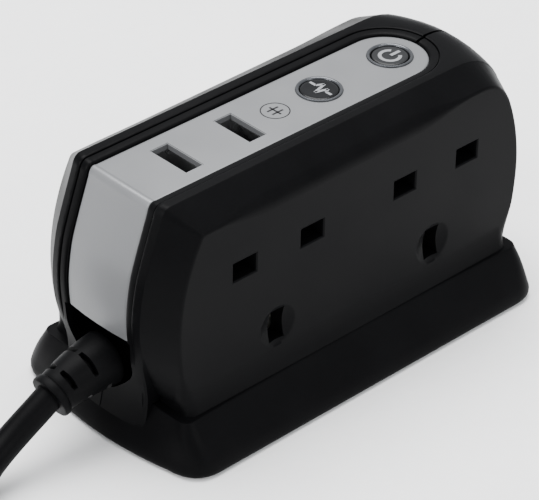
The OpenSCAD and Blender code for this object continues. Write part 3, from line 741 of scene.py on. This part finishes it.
def cut_pocket(shell):
    """The round-bottomed pocket that the lead leaves from, and the hole for the boot's neck."""
    combine(shell, box_solid("pocket_wall", (-60.5, -13.6, 10.8), (POCKET_BACK + 2.2, 0, 35)), "UNION")
    rings = []
    for x, grow in ((POCKET_BACK, 0), (-60.6, 0), (-61.4, 0.1), (-62.4, 0.45), (-75, 5)):
        outline = [(-y * (1 + grow / POCKET_HALF), z - grow * (1 - y / POCKET_HALF)) for y, z in POCKET]
        outline += [(outline[-1][0], STRIP_END_Z), (0, STRIP_END_Z)]
        rings.append([(x, y, z) for y, z in outline])
    combine(shell, loft("pocket", rings), "DIFFERENCE")
    angles = [math.pi * k / 20 for k in range(40)]
    hole = [[(x, BOOT_HOLE_R * math.cos(a), BOOT_ROOT[2] + BOOT_HOLE_R * math.sin(a)) for a in angles]
            for x in (POCKET_BACK - 2, POCKET_BACK + 4)]
    combine(shell, loft("boot_hole", hole), "DIFFERENCE")


def cavity_rings():
    """The hollow inside one half, open at the bottom."""
    wall = 2.3
    rings = []
    for y in (-1.5, 8, 13.8):
        rings.append([(x, -y, max(z, -0.5) if z > 1.5 else -0.5) for x, z in spine_ring(y, 4.6)])
    rings.append([(x, -(FACE_Y - wall), z if z > 1.5 else -0.5) for x, z in face_ring(wall + 1)])
    return rings


def make_half(name):
    shell = loft(name, upper_rings())
    combine(shell, loft("skirt", skirt_rings()), "UNION")
    combine(shell, loft("cavity", cavity_rings()), "DIFFERENCE")
    hollow = [plan_ring(length, width, 6, 1, 0, z)
              for z, length, width in ((-0.5, 62.4, 31), (3, 62, 30.6), (12, 55, 23))]
    combine(shell, loft("skirt_hollow", hollow), "DIFFERENCE")
    cut_pocket(shell)
    cut_slots(shell)
    cut_strip_seat(shell)
    for x in USB_X:
        half_x = USB_HALF_X + USB_GAP
        low = (x - half_x, -USB_HALF_Y - USB_GAP, 55)
        combine(shell, box_solid("usb_well", low, (x + half_x, 1, 75)), "DIFFERENCE")
    for x in (LENS_X, BUTTON_X):
        rings = disc_rings((x, 0), [(WELL_R + 0.04, 60), (WELL_R + 0.04, 75)], 48)
        combine(shell, loft("well", rings), "DIFFERENCE")
    return shell


def mirrored(obj, name):
    """A copy on the other side of the middle plane."""
    copy = bpy.data.objects.new(name, obj.data.copy())
    bpy.context.collection.objects.link(copy)
    copy.data.transform(Matrix.Scale(-1, 4, (0, 1, 0)))
    copy.data.flip_normals()
    return copy


front = make_half("front_shell_piece")
rear = mirrored(front, "rear_shell_piece")
dress(front, LOOKS["shell"], "housing", ("front_shell",))
dress(rear, LOOKS["shell"], "housing", ("rear_shell",))


# ---------------------------------------------------------------- strip and what is on it

def make_strip():
    """The silver strip, with the two USB mouths softened at their tops and the two round wells."""
    section = [(0, -2.8), (10.6, -2.8), (10.8, -2.6), (10.8, -1.6), (10.75, -1.42), (10.62, -1.29),
               (10.4, -1.22), (10, -1.2), (5, -1.2), (0, -1.2)]
    strip = both_sides("trim_strip_piece", strip_rings(section))
    for x in USB_X:
        for grow, low, high in ((0, 60, 75), (0.25, 68.25, 75)):
            half_x = USB_HALF_X + grow
            half_y = USB_HALF_Y + grow
            mouth = box_solid("mouth", (x - half_x, -half_y, low), (x + half_x, half_y, high))
            combine(strip, mouth, "DIFFERENCE")
    for x in (LENS_X, BUTTON_X):
        combine(strip, loft("well", disc_rings((x, 0), [(WELL_R, 60), (WELL_R, 75)])), "DIFFERENCE")
    return dress(strip, LOOKS["silver"], "housing", ("trim_strip",))


def make_bezel(name, x, node):
    outer = [(5.2, 66.2), (5.98, 66.2), (6.02, 68.45), (5.98, 68.68), (5.84, 68.83), (5.62, 68.88),
             (5.36, 68.8), (5.14, 68.62), (5.03, 68.35), (5.02, 66.6), (5.2, 66.2)]
    rings = disc_rings((x, 0), outer)
    return dress(loft(name, rings, caps=False), LOOKS["bezel"], "housing", (node,))


def make_cap(name, x, r, look, body, node, dish):
    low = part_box(node)[0][2] / MM
    profile = [(r, low), (r, 68.3), (r - 0.08, 68.46), (r - 0.26, 68.56), (r - 0.6, 68.6)]
    profile += [(r * k / 8, 68.6 - dish * (1 - (k / 7) ** 2)) for k in (6, 5, 4, 3, 2, 1)]
    profile += [(0.02, 68.6 - dish)]
    return dress(loft(name, disc_rings((x, 0), profile)), look, body, (node,))


def flat_mark(name, outlines, z, thick, look, body):
    """Thin raised marks from closed plan outlines."""
    points, faces = [], []
    for outline in outlines:
        count = len(outline)
        base = len(points)
        points += [(x, y, z) for x, y in outline] + [(x, y, z + thick) for x, y in outline]
        faces.append(tuple(base + k for k in range(count)))
        faces.append(tuple(base + count + k for k in range(count)))
        faces += [(base + k, base + (k + 1) % count, base + count + (k + 1) % count, base + count + k)
                  for k in range(count)]
    return dress(make_piece(name, points, faces), look, body)


def arc_band(x, y, r, width, start, end, steps=40):
    """Plan outline of part of a ring."""
    angles = [math.radians(start + (end - start) * i / steps) for i in range(steps + 1)]
    outside = [(x + (r + width / 2) * math.cos(a), y + (r + width / 2) * math.sin(a)) for a in angles]
    inside = [(x + (r - width / 2) * math.cos(a), y + (r - width / 2) * math.sin(a)) for a in angles]
    return outside + inside[::-1]


def bar(x0, y0, x1, y1, width):
    along = Vector((x1 - x0, y1 - y0)).normalized()
    side = Vector((-along.y, along.x)) * width / 2
    return [(x0 - side.x, y0 - side.y), (x1 - side.x, y1 - side.y),
            (x1 + side.x, y1 + side.y), (x0 + side.x, y0 + side.y)]


make_strip()
make_bezel("button_bezel_piece", BUTTON_X, "button_bezel")
make_bezel("lens_bezel_piece", LENS_X, "lens_bezel")
make_cap("power_button_piece", BUTTON_X, 4.7, LOOKS["button"], "button", "power_button", 0.25)
make_cap("surge_lens_piece", LENS_X, 4.9, LOOKS["lens"], "housing", "surge_lens", 0.1)
power_sign = [arc_band(BUTTON_X, 0, 2.6, 0.95, 38, 322), bar(BUTTON_X + 0.3, 0, BUTTON_X + 3.5, 0, 0.95)]
flat_mark("power_symbol", power_sign, 68.4, 0.16, PALE_INK, "button")
pulse = [(0.6, 4), (0.6, 1.9), (2.6, 0.8), (-1.9, -0.4), (1.6, -1.5), (0.3, -2.1), (0.3, -4)]
zigzag = [bar(LENS_X + a[0], a[1], LENS_X + b[0], b[1], 0.78) for a, b in zip(pulse, pulse[1:])]
flat_mark("surge_symbol", zigzag, 68.5, 0.13, PALE_INK, "housing")
plain_sign = [arc_band(SIGN_X, 0, 3.65, 0.32, 0, 359.9, 72), bar(SIGN_X, -2.1, SIGN_X, 2.1, 0.55)]
plain_sign += [bar(SIGN_X - 1.8, y, SIGN_X + 1.8, y, 0.55) for y in (0.9, -0.9)]
flat_mark("strip_symbol", plain_sign, 68.395, 0.03, INK, "housing")


# ---------------------------------------------------------------- springs

def make_spring(node):
    """A copy of a wound spring in steel on the housing, standing in for its CAD node."""
    source = frame["nodes"][node]
    spring = bpy.data.objects.new(node + "_piece", source.data.copy())
    bpy.context.collection.objects.link(spring)
    spring.matrix_world = source.matrix_world.copy()
    dress(spring, LOOKS["steel"], "housing", (node,))
    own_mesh(spring)


for joint in frame["record"]["behaviour"]["joints"]:
    for soft in joint.get("deforming_nodes", []):
        make_spring(soft["node"])


# ---------------------------------------------------------------- CAD nodes that stay

LOOK_OF_NODE = {part["node"]: part["material_slot"] for part in frame["record"]["subparts"]}
for name, node in frame["nodes"].items():
    node.data.materials.clear()
    node.data.materials.append(LOOKS[LOOK_OF_NODE[name]])


# ---------------------------------------------------------------- floor and light

def make_floor():
    data = bpy.data.meshes.new("floor")
    data.from_pydata([(-6, -6, 0), (6, -6, 0), (6, 6, 0), (-6, 6, 0)], [], [(0, 1, 2, 3)])
    floor = bpy.data.objects.new("floor", data)
    bpy.context.collection.objects.link(floor)
    floor.data.materials.append(grained("floor", (0.96, 0.96, 0.96), 0.85, 300, 0.05, spread=0.015))


def make_light(name, place, target, size, power):
    data = bpy.data.lights.new(name, "AREA")
    data.shape = "DISK"
    data.size = size
    data.energy = power
    light = bpy.data.objects.new(name, data)
    bpy.context.collection.objects.link(light)
    light.location = place
    light.rotation_euler = (Vector(target) - Vector(place)).to_track_quat("-Z", "Y").to_euler()


make_floor()
make_light("top_light", (0.1, 0.35, 1.3), (0, 0, 0), 1.2, 42)
make_light("end_light", (-1.3, 0.1, 0.7), (0, 0, 0.03), 0.8, 13)
make_light("front_light", (0.2, -1.4, 0.9), (0, 0, 0.03), 0.9, 8)
world = bpy.data.worlds.new("world")
world.use_nodes = True
world.node_tree.nodes["Background"].inputs["Color"].default_value = (0.95, 0.97, 1, 1)
world.node_tree.nodes["Background"].inputs["Strength"].default_value = 1
bpy.context.scene.world = world
